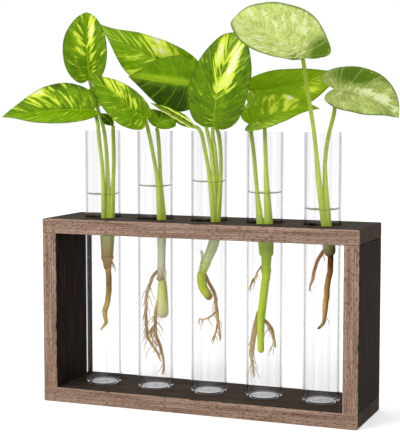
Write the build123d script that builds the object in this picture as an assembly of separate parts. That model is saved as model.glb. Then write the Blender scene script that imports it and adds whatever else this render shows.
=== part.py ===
"""Test tube vase: a low wooden frame of four boards holds five glass tubes in a row.

Each tube stands on the bottom board and passes through a round hole in the top board.
A rooting cutting hangs in each tube: its leaves spread above the rim, and its stem and
roots reach down into the water. Lengths are millimetres. The origin is on the ground under
the frame's centre, +Z is up, the row of tubes runs along X and the front faces -Y.
"""

import math
import os

from build123d import *

os.makedirs("parts", exist_ok=True)

# Frame: four stained boards, the top and bottom ones over the ends of the side ones
FRAME_LENGTH = 290
FRAME_DEPTH = 76
FRAME_HEIGHT = 165
BOARD_THICKNESS = 13
BOARD_EDGE_BEVEL = 0.8

# Blind dowels that pin the boards at each corner
DOWEL_DIAMETER = 6
DOWEL_IN_SIDE = 12
DOWEL_IN_BOARD = 8
DOWEL_SPACING = 40
DOWEL_BEVEL = 0.8
GLUE_GAP = 0.5

# Glass tubes with a polished rim and a flat foot
TUBE_COUNT = 5
END_SPACE = 13
TUBE_DIAMETER = 32
TUBE_WALL = 1.6
TUBE_FLOOR = 2.2
TUBE_LENGTH = 230
TUBE_FOOT_RADIUS = 2.5
BORE_FOOT_RADIUS = 3
RIM_ROUND = 0.6
HOLE_CLEARANCE = 0.5
HOLE_BEVEL = 0.6

# Stalks, cut stems and roots
STALK_DIAMETER = 3.4
BUD_DIAMETER = 3.2
GREEN_STEM_DIAMETER = 5.4
CUT_PIECE_DIAMETER = 8
THICK_STEM_DIAMETER = 11.5
MAIN_ROOT_DIAMETER = 3
ROOT_DIAMETER = 2.2
ROOTLET_DIAMETER = 1.5
ROOT_TIP_LENGTH = 5
ROOT_TIP_DIAMETER = 0.8
NODE_SWELLING = 0.7
NODE_HEIGHT = 2.6
NODE_BEVEL = 0.5

# Leaf blades
LEAF_THICKNESS = 0.8
LONG_LEAF_LENGTH = 100
LONG_LEAF_HALF_WIDTH = 20.3
TALL_LEAF_LENGTH = 66
TALL_LEAF_HALF_WIDTH = 20
CURLED_LEAF_LENGTH = 20
CURLED_LEAF_HALF_WIDTH = 9.5
BUD_LEAF_LENGTH = 16
BUD_LEAF_HALF_WIDTH = 4.5
FRONT_LEAF_LENGTH = 69
FRONT_LEAF_HALF_WIDTH = 16
SMALL_LEAF_LENGTH = 20
SMALL_LEAF_HALF_WIDTH = 14
HEART_LEAF_LENGTH = 82
HEART_LEAF_HALF_WIDTH = 28
FOLDED_LEAF_LENGTH = 65
FOLDED_LEAF_HALF_WIDTH = 25
FAR_LEAF_LENGTH = 106
FAR_LEAF_HALF_WIDTH = 23
NARROW_LEAF_LENGTH = 49
NARROW_LEAF_HALF_WIDTH = 5
BRIGHT_LEAF_LENGTH = 62
BRIGHT_LEAF_HALF_WIDTH = 21
BACK_LEAF_LENGTH = 83
BACK_LEAF_HALF_WIDTH = 19
TOP_LEAF_LENGTH = 70
TOP_LEAF_HALF_WIDTH = 33
SIDE_LEAF_LENGTH = 59
SIDE_LEAF_HALF_WIDTH = 28

# Room that the stalks take above a rim: sideways from the tube's axis, and upwards
SPRAY_REACH = 50
SPRAY_HEIGHT = 100

# How far a cutting solid runs past what it cuts
OVERRUN = 5

# Worked out from the sizes above
TUBE_ROW_LENGTH = FRAME_LENGTH - 2 * BOARD_THICKNESS - 2 * END_SPACE - TUBE_DIAMETER
TUBE_PITCH = TUBE_ROW_LENGTH / (TUBE_COUNT - 1)
TUBE_CENTRES = [index * TUBE_PITCH - TUBE_ROW_LENGTH / 2 for index in range(TUBE_COUNT)]
RIM_HEIGHT = BOARD_THICKNESS + TUBE_LENGTH
BORE_RADIUS = TUBE_DIAMETER / 2 - TUBE_WALL
HOLE_RADIUS = TUBE_DIAMETER / 2 + HOLE_CLEARANCE
SIDE_HEIGHT = FRAME_HEIGHT - 2 * BOARD_THICKNESS
SIDE_CENTRE = (FRAME_LENGTH - BOARD_THICKNESS) / 2
TOP_JOINT = FRAME_HEIGHT - BOARD_THICKNESS
BOTTOM_JOINT = BOARD_THICKNESS
UPWARDS = (Align.CENTER, Align.CENTER, Align.MIN)

nodes = {}


# Boards
def dowel_places(side, height):
    """The two dowel places of a corner, at a height: side is -1 at the left, 1 at the right."""
    return [Pos(side * SIDE_CENTRE, row * DOWEL_SPACING / 2, height) for row in (-1, 1)]


def dowel_holes(height, depth, way):
    """Blind holes at both ends of a board, from a joint at a height, up or down."""
    hole = Cylinder(DOWEL_DIAMETER / 2, depth + GLUE_GAP, align=UPWARDS)
    turn = Rot(0, 0, 0) if way > 0 else Rot(180, 0, 0)
    return [place * turn * hole for side in (-1, 1) for place in dowel_places(side, height)]


def lying_board(height):
    """A full-length board whose lower face is at a height."""
    board = chamfer(Box(FRAME_LENGTH, FRAME_DEPTH, BOARD_THICKNESS).edges(), BOARD_EDGE_BEVEL)
    return Pos(0, 0, height + BOARD_THICKNESS / 2) * board


def side_board(side):
    """An upright board between the lying ones."""
    board = Box(BOARD_THICKNESS, FRAME_DEPTH, SIDE_HEIGHT)
    board = chamfer(board.edges().filter_by(Axis.Z), BOARD_EDGE_BEVEL)
    board = Pos(side * SIDE_CENTRE, 0, BOARD_THICKNESS + SIDE_HEIGHT / 2) * board
    board -= dowel_holes(TOP_JOINT, DOWEL_IN_SIDE, -1)
    return board - dowel_holes(BOTTOM_JOINT, DOWEL_IN_SIDE, 1)


top_board = lying_board(TOP_JOINT) - dowel_holes(TOP_JOINT, DOWEL_IN_BOARD, 1)
for centre in TUBE_CENTRES:
    through = Cylinder(HOLE_RADIUS, BOARD_THICKNESS + 2 * OVERRUN)
    countersink = Cone(HOLE_RADIUS, HOLE_RADIUS + HOLE_BEVEL, HOLE_BEVEL)
    top_board -= Pos(centre, 0, TOP_JOINT + BOARD_THICKNESS / 2) * through
    top_board -= Pos(centre, 0, FRAME_HEIGHT - HOLE_BEVEL / 2) * countersink

nodes["top_board"] = top_board
nodes["bottom_board"] = lying_board(0) - dowel_holes(BOTTOM_JOINT, DOWEL_IN_BOARD, -1)
nodes["left_side_board"] = side_board(-1)
nodes["right_side_board"] = side_board(1)

# Dowels: alike, so one node holds all of them
dowel = Cylinder(DOWEL_DIAMETER / 2, DOWEL_IN_SIDE + DOWEL_IN_BOARD)
dowel = chamfer(dowel.edges().filter_by(GeomType.CIRCLE), DOWEL_BEVEL)
dowel_shift = (DOWEL_IN_SIDE - DOWEL_IN_BOARD) / 2
dowels = []
for side in (-1, 1):
    for height in (TOP_JOINT - dowel_shift, BOTTOM_JOINT + dowel_shift):
        dowels += [place * dowel for place in dowel_places(side, height)]
nodes["corner_dowels"] = Compound(children=dowels)

# Glass tubes: a round outside and bore, a rounded foot and a polished rim
outside = Cylinder(TUBE_DIAMETER / 2, TUBE_LENGTH, align=UPWARDS)
outside = fillet(outside.edges().group_by(Axis.Z)[0], TUBE_FOOT_RADIUS)
bore = Cylinder(BORE_RADIUS, TUBE_LENGTH - TUBE_FLOOR + OVERRUN, align=UPWARDS)
bore = fillet(bore.edges().group_by(Axis.Z)[0], BORE_FOOT_RADIUS)
tube = outside - Pos(0, 0, TUBE_FLOOR) * bore
tube = fillet(tube.edges().group_by(Axis.Z)[-1], RIM_ROUND)
for number, centre in enumerate(TUBE_CENTRES, start=1):
    nodes[f"tube_{number}"] = Pos(centre, 0, BOARD_THICKNESS) * tube


# Stalks, stems and roots
def in_tube(number, shares):
    """Points inside a tube: shares of the bore's radius sideways and of the tube's length down."""
    return [
        Vector(
            TUBE_CENTRES[number - 1] + x_share * BORE_RADIUS,
            y_share * BORE_RADIUS,
            RIM_HEIGHT - depth_share * TUBE_LENGTH,
        )
        for x_share, y_share, depth_share in shares
    ]


def above_rim(number, shares):
    """Points above a tube's rim: shares of the spray's reach sideways and of its height up."""
    return [
        Vector(
            TUBE_CENTRES[number - 1] + x_share * SPRAY_REACH,
            y_share * SPRAY_REACH,
            RIM_HEIGHT + rise_share * SPRAY_HEIGHT,
        )
        for x_share, y_share, rise_share in shares
    ]


def strand(points, diameter):
    """A round strand: straight runs joined by arcs as wide as the runs allow."""
    if len(points) == 2:
        path = Line(*points)
    else:
        radii = []
        for before, corner, after in zip(points, points[1:], points[2:]):
            turn = math.radians((corner - before).get_angle(after - corner))
            shorter = min((corner - before).length, (after - corner).length)
            radii.append(0.45 * shorter / math.tan(turn / 2))
        path = FilletPolyline(*points, radius=radii)
    return sweep(Plane(path @ 0, z_dir=path % 0) * Circle(diameter / 2), path)


def stalk(number, inner_shares, outer_shares):
    """A leaf's stalk, from the stem up past the rim, and the point where its leaf starts."""
    points = in_tube(number, inner_shares) + above_rim(number, outer_shares)
    return strand(points, STALK_DIAMETER), points[-1]


def stem_length(number, shares, lower_diameter, upper_diameter):
    """A straight length of stem between a lower and an upper point."""
    lower, upper = in_tube(number, shares)
    along = (upper - lower).normalized()
    lower_end = Plane(lower, z_dir=along) * Circle(lower_diameter / 2)
    upper_end = Plane(upper, z_dir=along) * Circle(upper_diameter / 2)
    return loft([lower_end, upper_end], ruled=True)


def node_ring(number, share, diameter):
    """The swollen ring on a stem that a root or stalk grows from."""
    ring = Cylinder(diameter / 2 + NODE_SWELLING, NODE_HEIGHT)
    ring = chamfer(ring.edges().filter_by(GeomType.CIRCLE), NODE_BEVEL)
    return Pos(*in_tube(number, (share,))) * ring


def root(number, shares, diameter):
    """A root that tapers to a tip."""
    points = in_tube(number, shares)
    tip = Cone(diameter / 2, ROOT_TIP_DIAMETER / 2, ROOT_TIP_LENGTH, align=UPWARDS)
    along = (points[-1] - points[-2]).normalized()
    return strand(points, diameter) + Plane(points[-1], z_dir=along) * tip


# Leaf blades
# Half an outline, from the notch at the stalk round the lobe to the tip, as shares of the
# blade's length and half width: each second point is the middle of an arc
HEART_SHARES = ((0, 0), (-0.085, 0.42), (0.02, 0.82), (0.22, 1), (0.5, 0.84), (0.8, 0.33), (1, 0))
TALL_SHARES = ((0, 0), (-0.07, 0.42), (0.03, 0.82), (0.24, 1), (0.54, 0.91), (0.84, 0.46), (1, 0))
SHORT_LOBE_SHARES = ((0, 0), (-0.03, 0.42), (0.05, 0.8), (0.24, 1), (0.5, 0.84), (0.8, 0.33), (1, 0))
SLIM_TIP_SHARES = ((0, 0), (-0.085, 0.42), (0.02, 0.82), (0.22, 1), (0.5, 0.8), (0.8, 0.22), (1, 0))
HEART_LEFT_SHARES = ((0, 0), (-0.03, 0.4), (0.05, 0.76), (0.3, 0.95), (0.64, 0.8), (0.92, 0.4), (1, 0))
HEART_RIGHT_SHARES = ((0, 0), (0, 0.4), (0.11, 0.8), (0.34, 1), (0.66, 0.96), (0.94, 0.48), (1, 0))
BACK_SHARES = ((0, 0), (-0.05, 0.4), (0.05, 0.76), (0.3, 1), (0.6, 0.82), (0.85, 0.36), (1, 0))
TOP_LEFT_SHARES = ((0, 0), (0, 0.17), (0.04, 0.48), (0.22, 0.87), (0.56, 1.05), (0.87, 0.58), (1, 0))
TOP_RIGHT_SHARES = ((0, 0), (-0.16, 0.22), (-0.2, 0.52), (0.2, 0.86), (0.62, 0.74), (0.92, 0.36), (1, 0))
SIDE_LEFT_SHARES = ((0, 0), (-0.2, 0.22), (-0.22, 0.5), (0.08, 0.74), (0.5, 0.78), (0.85, 0.46), (1, 0))
SIDE_RIGHT_SHARES = ((0, 0), (-0.08, 0.25), (-0.05, 0.5), (0.15, 0.74), (0.5, 0.66), (0.85, 0.24), (1, 0))
LANCE_SHARES = ((0, 0), (0.03, 0.35), (0.12, 0.7), (0.3, 1), (0.55, 0.86), (0.82, 0.4), (1, 0))
BULGE_SHARE = 0.05


def half_outline(shares, length, half_width):
    """Three arcs from the notch to the tip, along one side of a blade."""
    points = [Vector(x_share * length, y_share * half_width) for x_share, y_share in shares]
    return [ThreePointArc(*points[start:start + 3]) for start in (0, 2, 4)]


def curved_sheet(length, half_width, lead, folds, arch_share):
    """A folded cross-section, turned about an axle far below so that the midrib arches."""
    arch = arch_share * length
    arch_radius = (length ** 2 / 4 + arch ** 2) / (2 * arch)
    reach = half_width + OVERRUN
    lift = Vector(0, 0, LEAF_THICKNESS)
    midrib = Vector(length / 2, 0, arch)
    edges = []
    for side, fold in zip((-1, 1), folds):
        slope = math.tan(math.radians(fold))
        outer = midrib + Vector(0, side * reach, slope * reach)
        crown = (midrib + outer) * 0.5 + Vector(0, 0, BULGE_SHARE * half_width)
        edges.append(ThreePointArc(midrib, crown, outer))
        edges.append(Line(outer, outer + lift))
        edges.append(ThreePointArc(outer + lift, crown + lift, midrib + lift))
    axle = Axis((length / 2, 0, arch - arch_radius), (0, 1, 0))
    half_turn = math.degrees(math.asin((length / 2 + lead + OVERRUN) / arch_radius))
    return revolve(make_face(edges).rotate(axle, -half_turn), axle, revolution_arc=2 * half_turn)


def blade(base, size, turns, folds, halves=(HEART_SHARES, HEART_SHARES), arch_share=0.05):
    """A leaf blade: a curved sheet cut to its outline.

    base is the stalk's end and size the length and half width. turns are the tip's heading about
    Z, its climb and the roll of the upper face about the midrib, and folds lift the right and
    left halves, whose outlines are in halves. Angles are in degrees.
    """
    length, half_width = size
    heading, climb, roll = turns
    right_shares, left_shares = halves
    outline = half_outline(left_shares, length, half_width)
    outline += half_outline(right_shares, length, -half_width)
    lead = -min(x_share for x_share, y_share in right_shares + left_shares) * length
    sheet = curved_sheet(length, half_width, lead, folds, arch_share)
    leaf = extrude(make_face(outline), amount=length, both=True) & sheet
    return Location(base) * Rot(0, 0, heading) * Rot(0, -climb, 0) * Rot(roll, 0, 0) * leaf


# First cutting: a long leaf to the left, a tall one, one still curled and a closed bud
long_stalk, long_base = stalk(
    1,
    ((0.36, -0.26, 0.31), (0.28, -0.54, 0.18), (0.22, -0.74, 0.09), (0.1, -0.84, 0)),
    ((-0.04, -0.12, 0.09), (-0.19, 0.04, 0.182)),
)
tall_stalk, tall_base = stalk(
    1,
    ((0.5, -0.21, 0.31), (0.42, -0.2, 0.12), (0.05, 0.12, 0)),
    ((-0.11, 0.16, 0.11), (-0.24, 0.17, 0.27), (-0.26, 0, 0.461)),
)
bud_stalk, bud_base = stalk(
    1,
    ((0.56, -0.24, 0.31), (0.79, -0.08, 0.19), (0.82, -0.06, 0.09), (0.78, -0.16, 0)),
    ((0.24, -0.06, 0.05),),
)
curled_base = above_rim(1, ((-0.21, 0.17, 0.235),))[0]
stem = stem_length(
    1, ((0.4, -0.24, 0.55), (0.46, -0.24, 0.29)), GREEN_STEM_DIAMETER, CUT_PIECE_DIAMETER
)
stem += node_ring(1, (0.43, -0.24, 0.42), CUT_PIECE_DIAMETER)
stem += long_stalk + tall_stalk + bud_stalk
roots = root(
    1,
    ((0.4, -0.24, 0.53), (0.58, -0.35, 0.587), (0.54, -0.42, 0.626), (0.46, -0.42, 0.68),
     (0.15, -0.35, 0.718), (0.35, -0.28, 0.753), (0.15, -0.28, 0.772), (-0.09, -0.35, 0.79)),
    MAIN_ROOT_DIAMETER,
)
roots += root(1, ((0.48, -0.24, 0.485), (0.68, -0.14, 0.517), (0.8, -0.07, 0.549)), ROOTLET_DIAMETER)
nodes["cutting_1_stem"] = stem
nodes["cutting_1_roots"] = roots - stem
long_leaf = blade(
    long_base,
    (LONG_LEAF_LENGTH, LONG_LEAF_HALF_WIDTH),
    (176, -4, -64),
    (34, 34),
    (SHORT_LOBE_SHARES, HEART_SHARES),
)
tall_leaf = blade(
    tall_base,
    (TALL_LEAF_LENGTH, TALL_LEAF_HALF_WIDTH),
    (122, 68, -15),
    (34, 27),
    (TALL_SHARES, TALL_SHARES),
    0.11,
)
curled_leaf = blade(
    curled_base, (CURLED_LEAF_LENGTH, CURLED_LEAF_HALF_WIDTH), (42, 60, 58), (40, 40), arch_share=0.15
)
bud_leaf = blade(
    bud_base,
    (BUD_LEAF_LENGTH, BUD_LEAF_HALF_WIDTH),
    (-172, 40, -76),
    (45, 45),
    (LANCE_SHARES, LANCE_SHARES),
    0.1,
)
nodes["cutting_1_long_leaf"] = long_leaf - stem
nodes["cutting_1_tall_leaf"] = tall_leaf - stem
nodes["cutting_1_curled_leaf"] = curled_leaf - stem
nodes["cutting_1_bud_leaf"] = bud_leaf - stem

# Second cutting: a front leaf across its neighbour, a small leaf, and long fine roots
front_stalk, front_base = stalk(
    2,
    ((0.5, -0.28, 0.37), (0.41, -0.42, 0.2), (0.14, -0.7, 0.08)),
    ((-0.04, -0.23, 0.04), (-0.01, -0.42, 0.106)),
)
small_stalk, small_base = stalk(
    2, ((0.62, -0.24, 0.37), (0.42, -0.21, 0.144), (0.24, -0.06, 0)), ((0.03, -0.02, 0.034),)
)
stem = stem_length(
    2, ((0.55, -0.28, 0.575), (0.6, -0.28, 0.35)), GREEN_STEM_DIAMETER, CUT_PIECE_DIAMETER
)
stem += stem_length(
    2, ((0.6, -0.28, 0.725), (0.58, -0.28, 0.57)), CUT_PIECE_DIAMETER, GREEN_STEM_DIAMETER
)
stem += node_ring(2, (0.57, -0.28, 0.573), GREEN_STEM_DIAMETER)
stem += front_stalk + small_stalk
stem += strand(in_tube(2, ((0.6, -0.28, 0.6), (0.76, -0.3, 0.58), (0.8, -0.3, 0.535))), BUD_DIAMETER)
roots = root(
    2,
    ((0.5, -0.28, 0.535), (0.03, -0.35, 0.548), (-0.3, -0.42, 0.613), (-0.51, -0.42, 0.671),
     (-0.5, -0.35, 0.764), (-0.32, -0.28, 0.817), (0.11, -0.21, 0.852), (0.42, -0.18, 0.9)),
    ROOT_DIAMETER,
)
roots += root(
    2,
    ((0.58, -0.32, 0.63), (0.26, -0.55, 0.66), (0.2, -0.52, 0.743), (0.22, -0.44, 0.79),
     (0.47, -0.37, 0.843), (0.72, -0.33, 0.9), (0.62, -0.3, 0.95)),
    ROOT_DIAMETER,
)
nodes["cutting_2_stem"] = stem
nodes["cutting_2_roots"] = roots - stem
front_leaf = blade(front_base, (FRONT_LEAF_LENGTH, FRONT_LEAF_HALF_WIDTH), (176, 36, -81), (34, 31))
small_leaf = blade(
    small_base, (SMALL_LEAF_LENGTH, SMALL_LEAF_HALF_WIDTH), (94, 40, 40), (26, 13), arch_share=0.11
)
nodes["cutting_2_front_leaf"] = front_leaf - stem
nodes["cutting_2_small_leaf"] = small_leaf - stem

# Third cutting: the big heart-shaped leaf, three more behind it, and branching roots
heart_stalk, heart_base = stalk(
    3,
    ((0.6, -0.28, 0.37), (0.78, -0.1, 0.2), (0.82, -0.12, 0.09)),
    ((0.21, -0.11, 0.035), (0.2, -0.29, 0.048)),
)
folded_stalk, folded_base = stalk(
    3,
    ((0.52, -0.28, 0.36), (0.42, -0.28, 0.19), (0.25, -0.2, 0.08), (-0.1, -0.1, 0)),
    ((-0.1, 0.04, 0.09), (-0.28, 0.3, 0.28), (-0.47, 0.56, 0.397)),
)
far_stalk, far_base = stalk(
    3,
    ((0.5, -0.2, 0.36), (0.5, -0.08, 0.19), (0.4, 0, 0.08), (0.15, 0.04, 0)),
    ((0.06, 0.14, 0.12), (-0.06, 0.5, 0.32), (-0.4, 0.74, 0.44), (-0.7, 0.84, 0.526)),
)
narrow_stalk, narrow_base = stalk(
    3,
    ((0.5, -0.36, 0.36), (0.25, -0.42, 0.19), (-0.1, -0.36, 0.08)),
    ((-0.17, 0, 0.05), (-0.4, 0.24, 0.034)),
)
stem = strand(
    in_tube(3, ((0.55, -0.28, 0.345), (0.56, -0.28, 0.414), (-0.22, -0.28, 0.51), (-0.34, -0.28, 0.545))),
    GREEN_STEM_DIAMETER,
)
stem += strand(in_tube(3, ((-0.24, -0.28, 0.51), (-0.36, -0.35, 0.452))), BUD_DIAMETER)
stem += strand(
    in_tube(3, ((-0.34, -0.28, 0.53), (-0.41, -0.42, 0.578), (0.1, -0.42, 0.627), (0.32, -0.42, 0.637))),
    STALK_DIAMETER,
)
stem += heart_stalk + folded_stalk + far_stalk + narrow_stalk
roots = root(
    3,
    ((-0.3, -0.26, 0.53), (0.15, -0.14, 0.59), (0.54, -0.14, 0.634), (0.57, -0.21, 0.702),
     (0.76, -0.24, 0.751), (0.82, -0.24, 0.8)),
    ROOT_DIAMETER,
)
roots += root(3, ((0.56, -0.2, 0.685), (-0.12, -0.42, 0.731), (-0.52, -0.42, 0.712)), ROOTLET_DIAMETER)
roots += root(3, ((0.66, -0.22, 0.728), (0.42, -0.35, 0.787), (0.35, -0.35, 0.816)), ROOTLET_DIAMETER)
nodes["cutting_3_stem"] = stem
nodes["cutting_3_roots"] = roots - stem
heart_leaf = blade(
    heart_base,
    (HEART_LEAF_LENGTH, HEART_LEAF_HALF_WIDTH),
    (2, 76, 86),
    (4, 0),
    (HEART_RIGHT_SHARES, HEART_LEFT_SHARES),
    0.13,
)
folded_leaf = blade(
    folded_base, (FOLDED_LEAF_LENGTH, FOLDED_LEAF_HALF_WIDTH), (-175, 8, -92), (0, 0)
)
far_leaf = blade(
    far_base,
    (FAR_LEAF_LENGTH, FAR_LEAF_HALF_WIDTH),
    (177, 26, -115),
    (0, 33),
    (HEART_SHARES, SLIM_TIP_SHARES),
    0.08,
)
narrow_leaf = blade(
    narrow_base,
    (NARROW_LEAF_LENGTH, NARROW_LEAF_HALF_WIDTH),
    (173, 26, 90),
    (11, 11),
    (LANCE_SHARES, LANCE_SHARES),
)
nodes["cutting_3_heart_leaf"] = heart_leaf - stem
nodes["cutting_3_folded_leaf"] = folded_leaf - stem
nodes["cutting_3_far_leaf"] = far_leaf - stem
nodes["cutting_3_narrow_leaf"] = narrow_leaf - stem

# Fourth cutting: a bright leaf in front of a darker one, and the thickest stem
bright_stalk, bright_base = stalk(
    4,
    ((0, -0.33, 0.39), (-0.39, -0.35, 0.215), (-0.6, -0.28, 0.084), (-0.8, -0.28, 0)),
    ((-0.29, 0, 0.065),),
)
back_stalk, back_base = stalk(
    4,
    ((0.36, -0.33, 0.39), (0.2, -0.28, 0.214), (0.08, -0.14, 0.084), (0, -0.06, 0)),
    ((-0.06, 0.12, 0.1), (-0.25, 0.4, 0.27), (-0.5, 0.62, 0.355)),
)
stem = stem_length(
    4, ((0.22, -0.3, 0.46), (0.18, -0.3, 0.37)), THICK_STEM_DIAMETER, THICK_STEM_DIAMETER
)
stem += stem_length(
    4, ((0.2, -0.33, 0.545), (0.22, -0.3, 0.455)), GREEN_STEM_DIAMETER, CUT_PIECE_DIAMETER
)
stem += node_ring(4, (0.22, -0.3, 0.46), THICK_STEM_DIAMETER)
stem += strand(
    in_tube(4, ((0.2, -0.33, 0.54), (0.03, -0.42, 0.643), (-0.11, -0.42, 0.728), (-0.06, -0.42, 0.831))),
    GREEN_STEM_DIAMETER,
)
stem += bright_stalk + back_stalk
roots = root(
    4,
    ((-0.02, -0.4, 0.665), (-0.37, -0.28, 0.685), (-0.57, -0.21, 0.736), (-0.74, -0.21, 0.818),
     (-0.72, -0.2, 0.874), (-0.56, -0.2, 0.93)),
    ROOT_DIAMETER,
)
roots += root(
    4, ((0, -0.42, 0.698), (0.36, -0.28, 0.721), (0.6, -0.21, 0.75), (0.8, -0.21, 0.811)), ROOT_DIAMETER
)
roots += root(4, ((0.15, -0.32, 0.486), (-0.43, -0.21, 0.519), (-0.62, -0.21, 0.573)), ROOTLET_DIAMETER)
nodes["cutting_4_stem"] = stem
nodes["cutting_4_roots"] = roots - stem
bright_leaf = blade(
    bright_base, (BRIGHT_LEAF_LENGTH, BRIGHT_LEAF_HALF_WIDTH), (23, 12, 46), (22, 13), arch_share=0.1
)
back_leaf = blade(
    back_base,
    (BACK_LEAF_LENGTH, BACK_LEAF_HALF_WIDTH),
    (11, 11, 123),
    (31, 5),
    (BACK_SHARES, BACK_SHARES),
)
nodes["cutting_4_bright_leaf"] = bright_leaf - stem
nodes["cutting_4_back_leaf"] = back_leaf - stem

# Fifth cutting: two pale arrow-shaped leaves on long stalks
top_stalk, top_base = stalk(
    5,
    ((0.34, -0.28, 0.38), (-0.08, -0.42, 0.208), (-0.21, -0.62, 0.08), (-0.33, -0.78, 0)),
    ((-0.11, -0.28, 0.11), (-0.13, -0.54, 0.376), (-0.12, -0.8, 0.608)),
)
side_stalk, side_base = stalk(
    5,
    ((0.46, -0.26, 0.38), (0.14, -0.21, 0.157), (0.24, -0.14, 0.055), (0.4, -0.14, 0)),
    ((0.15, -0.04, 0.06), (0.19, 0.08, 0.2), (0.17, 0.07, 0.36)),
)
stem = stem_length(
    5, ((0.54, -0.28, 0.456), (0.42, -0.28, 0.36)), CUT_PIECE_DIAMETER, GREEN_STEM_DIAMETER
)
stem += top_stalk + side_stalk
roots = root(
    5,
    ((0.44, -0.28, 0.422), (0.13, -0.35, 0.435), (-0.12, -0.42, 0.465), (-0.38, -0.42, 0.51),
     (-0.51, -0.35, 0.555), (-0.68, -0.28, 0.589)),
    ROOT_DIAMETER,
)
roots += root(
    5,
    ((0.55, -0.28, 0.44), (0.64, -0.35, 0.474), (0.58, -0.36, 0.519), (0.35, -0.35, 0.596),
     (0.29, -0.36, 0.662), (0.23, -0.35, 0.713), (-0.11, -0.35, 0.726)),
    MAIN_ROOT_DIAMETER,
)
nodes["cutting_5_stem"] = stem
nodes["cutting_5_roots"] = roots - stem
top_leaf = blade(
    top_base,
    (TOP_LEAF_LENGTH, TOP_LEAF_HALF_WIDTH),
    (176, 29, -29),
    (30, 8),
    (TOP_RIGHT_SHARES, TOP_LEFT_SHARES),
)
side_leaf = blade(
    side_base,
    (SIDE_LEAF_LENGTH, SIDE_LEAF_HALF_WIDTH),
    (19, -24, 45),
    (-12, 20),
    (SIDE_RIGHT_SHARES, SIDE_LEFT_SHARES),
    0.12,
)
nodes["cutting_5_top_leaf"] = top_leaf - stem
nodes["cutting_5_side_leaf"] = side_leaf - stem

for name, shape in nodes.items():
    export_step(shape, f"parts/{name}.step")
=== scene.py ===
import math

import bpy
import numpy as np
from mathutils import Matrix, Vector


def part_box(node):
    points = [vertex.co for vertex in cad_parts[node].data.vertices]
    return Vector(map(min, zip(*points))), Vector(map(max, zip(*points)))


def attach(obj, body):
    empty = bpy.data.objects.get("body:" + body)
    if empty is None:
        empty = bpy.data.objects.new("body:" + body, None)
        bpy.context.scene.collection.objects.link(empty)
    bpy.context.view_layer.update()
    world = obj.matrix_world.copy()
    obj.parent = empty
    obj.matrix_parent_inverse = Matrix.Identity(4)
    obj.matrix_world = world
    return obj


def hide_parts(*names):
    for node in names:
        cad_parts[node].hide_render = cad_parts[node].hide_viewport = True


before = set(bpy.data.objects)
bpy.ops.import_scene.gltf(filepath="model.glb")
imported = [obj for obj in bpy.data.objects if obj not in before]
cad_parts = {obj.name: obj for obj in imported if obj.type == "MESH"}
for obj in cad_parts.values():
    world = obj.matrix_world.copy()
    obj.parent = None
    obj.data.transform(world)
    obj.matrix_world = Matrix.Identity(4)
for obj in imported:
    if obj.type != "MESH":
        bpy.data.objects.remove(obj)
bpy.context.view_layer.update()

MM = 0.001

# Camera
# A long lens a little to the right of the vase and above its rims, as product pictures are taken,
# so that the boards' edges stay nearly parallel.
CAMERA_PLACE = Vector((401.3, -1033.0, 267.0)) * MM
CAMERA_AIM = Vector((-141.7, 335.4, 136.5)) * MM
SENSOR_SIDE = 36
LENS_LENGTH = 105.69

lens = bpy.data.cameras.new("camera")
lens.sensor_width = SENSOR_SIDE
lens.lens = LENS_LENGTH
camera = bpy.data.objects.new("camera", lens)
camera.location = CAMERA_PLACE
camera.rotation_euler = (CAMERA_AIM - CAMERA_PLACE).to_track_quat("-Z", "Y").to_euler()
bpy.context.collection.objects.link(camera)
bpy.context.scene.camera = camera
bpy.context.scene.view_settings.view_transform = "Standard"


# Studio
# A white floor that runs out to a white surround, one large soft lamp high on the left, and even
# light from all round, as for a cut-out catalogue picture. Glass and gloss see the same white.
SURROUND_LIGHT = 0.84
LAMP_PLACE = Vector((-900, -1300, 1700)) * MM
LAMP_SIDE = 1100 * MM
LAMP_WATTS = 20
FLOOR_SIDE = 24
FLOOR_GLOW = 0.36


def add(tree, kind, inputs=(), **settings):
    """Adds a node to a tree. inputs maps its sockets to values, or to the nodes that feed them."""
    node = tree.nodes.new("ShaderNode" + kind)
    for name, value in settings.items():
        setattr(node, name, value)
    for name, value in dict(inputs).items():
        if isinstance(value, bpy.types.Node):
            value = value.outputs[0]
        if isinstance(value, bpy.types.NodeSocket):
            tree.links.new(value, node.inputs[name])
        else:
            node.inputs[name].default_value = value
    return node


def blank(name):
    """A material with nothing in its tree yet."""
    material = bpy.data.materials.new(name)
    material.use_nodes = True
    material.node_tree.nodes.clear()
    return material


def linear(colour):
    """An sRGB hex colour as linear RGBA: c / 12.92 if dark, else ((c + 0.055) / 1.055) ** 2.4."""
    parts = np.array([int(colour[start:start + 2], 16) for start in (1, 3, 5)]) / 255
    parts = np.where(parts > 0.04045, ((parts + 0.055) / 1.055) ** 2.4, parts / 12.92)
    return (*parts.tolist(), 1.0)


def maths(tree, operation, *values):
    """One operation, such as ADD or MAXIMUM, on values or on the nodes that feed them."""
    return add(tree, "Math", dict(enumerate(values)), operation=operation)


def seen_directly(tree):
    """1 for rays from the camera, or on from gloss or through glass, and 0 for those that light."""
    rays = add(tree, "LightPath")
    seen = rays.outputs["Is Camera Ray"]
    for kind in ("Is Glossy Ray", "Is Transmission Ray"):
        seen = maths(tree, "MAXIMUM", seen, rays.outputs[kind])
    return seen


surround = bpy.data.worlds.new("white_surround")
surround.use_nodes = True
surround.node_tree.nodes.clear()
bpy.context.scene.world = surround
sky = surround.node_tree
lighting = add(sky, "Background", {"Color": linear("#ffffff"), "Strength": SURROUND_LIGHT})
showing = add(sky, "Background", {"Color": linear("#ffffff"), "Strength": 1})
mixed = add(sky, "MixShader", {0: seen_directly(sky), 1: lighting, 2: showing})
add(sky, "OutputWorld", {"Surface": mixed})

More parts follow.
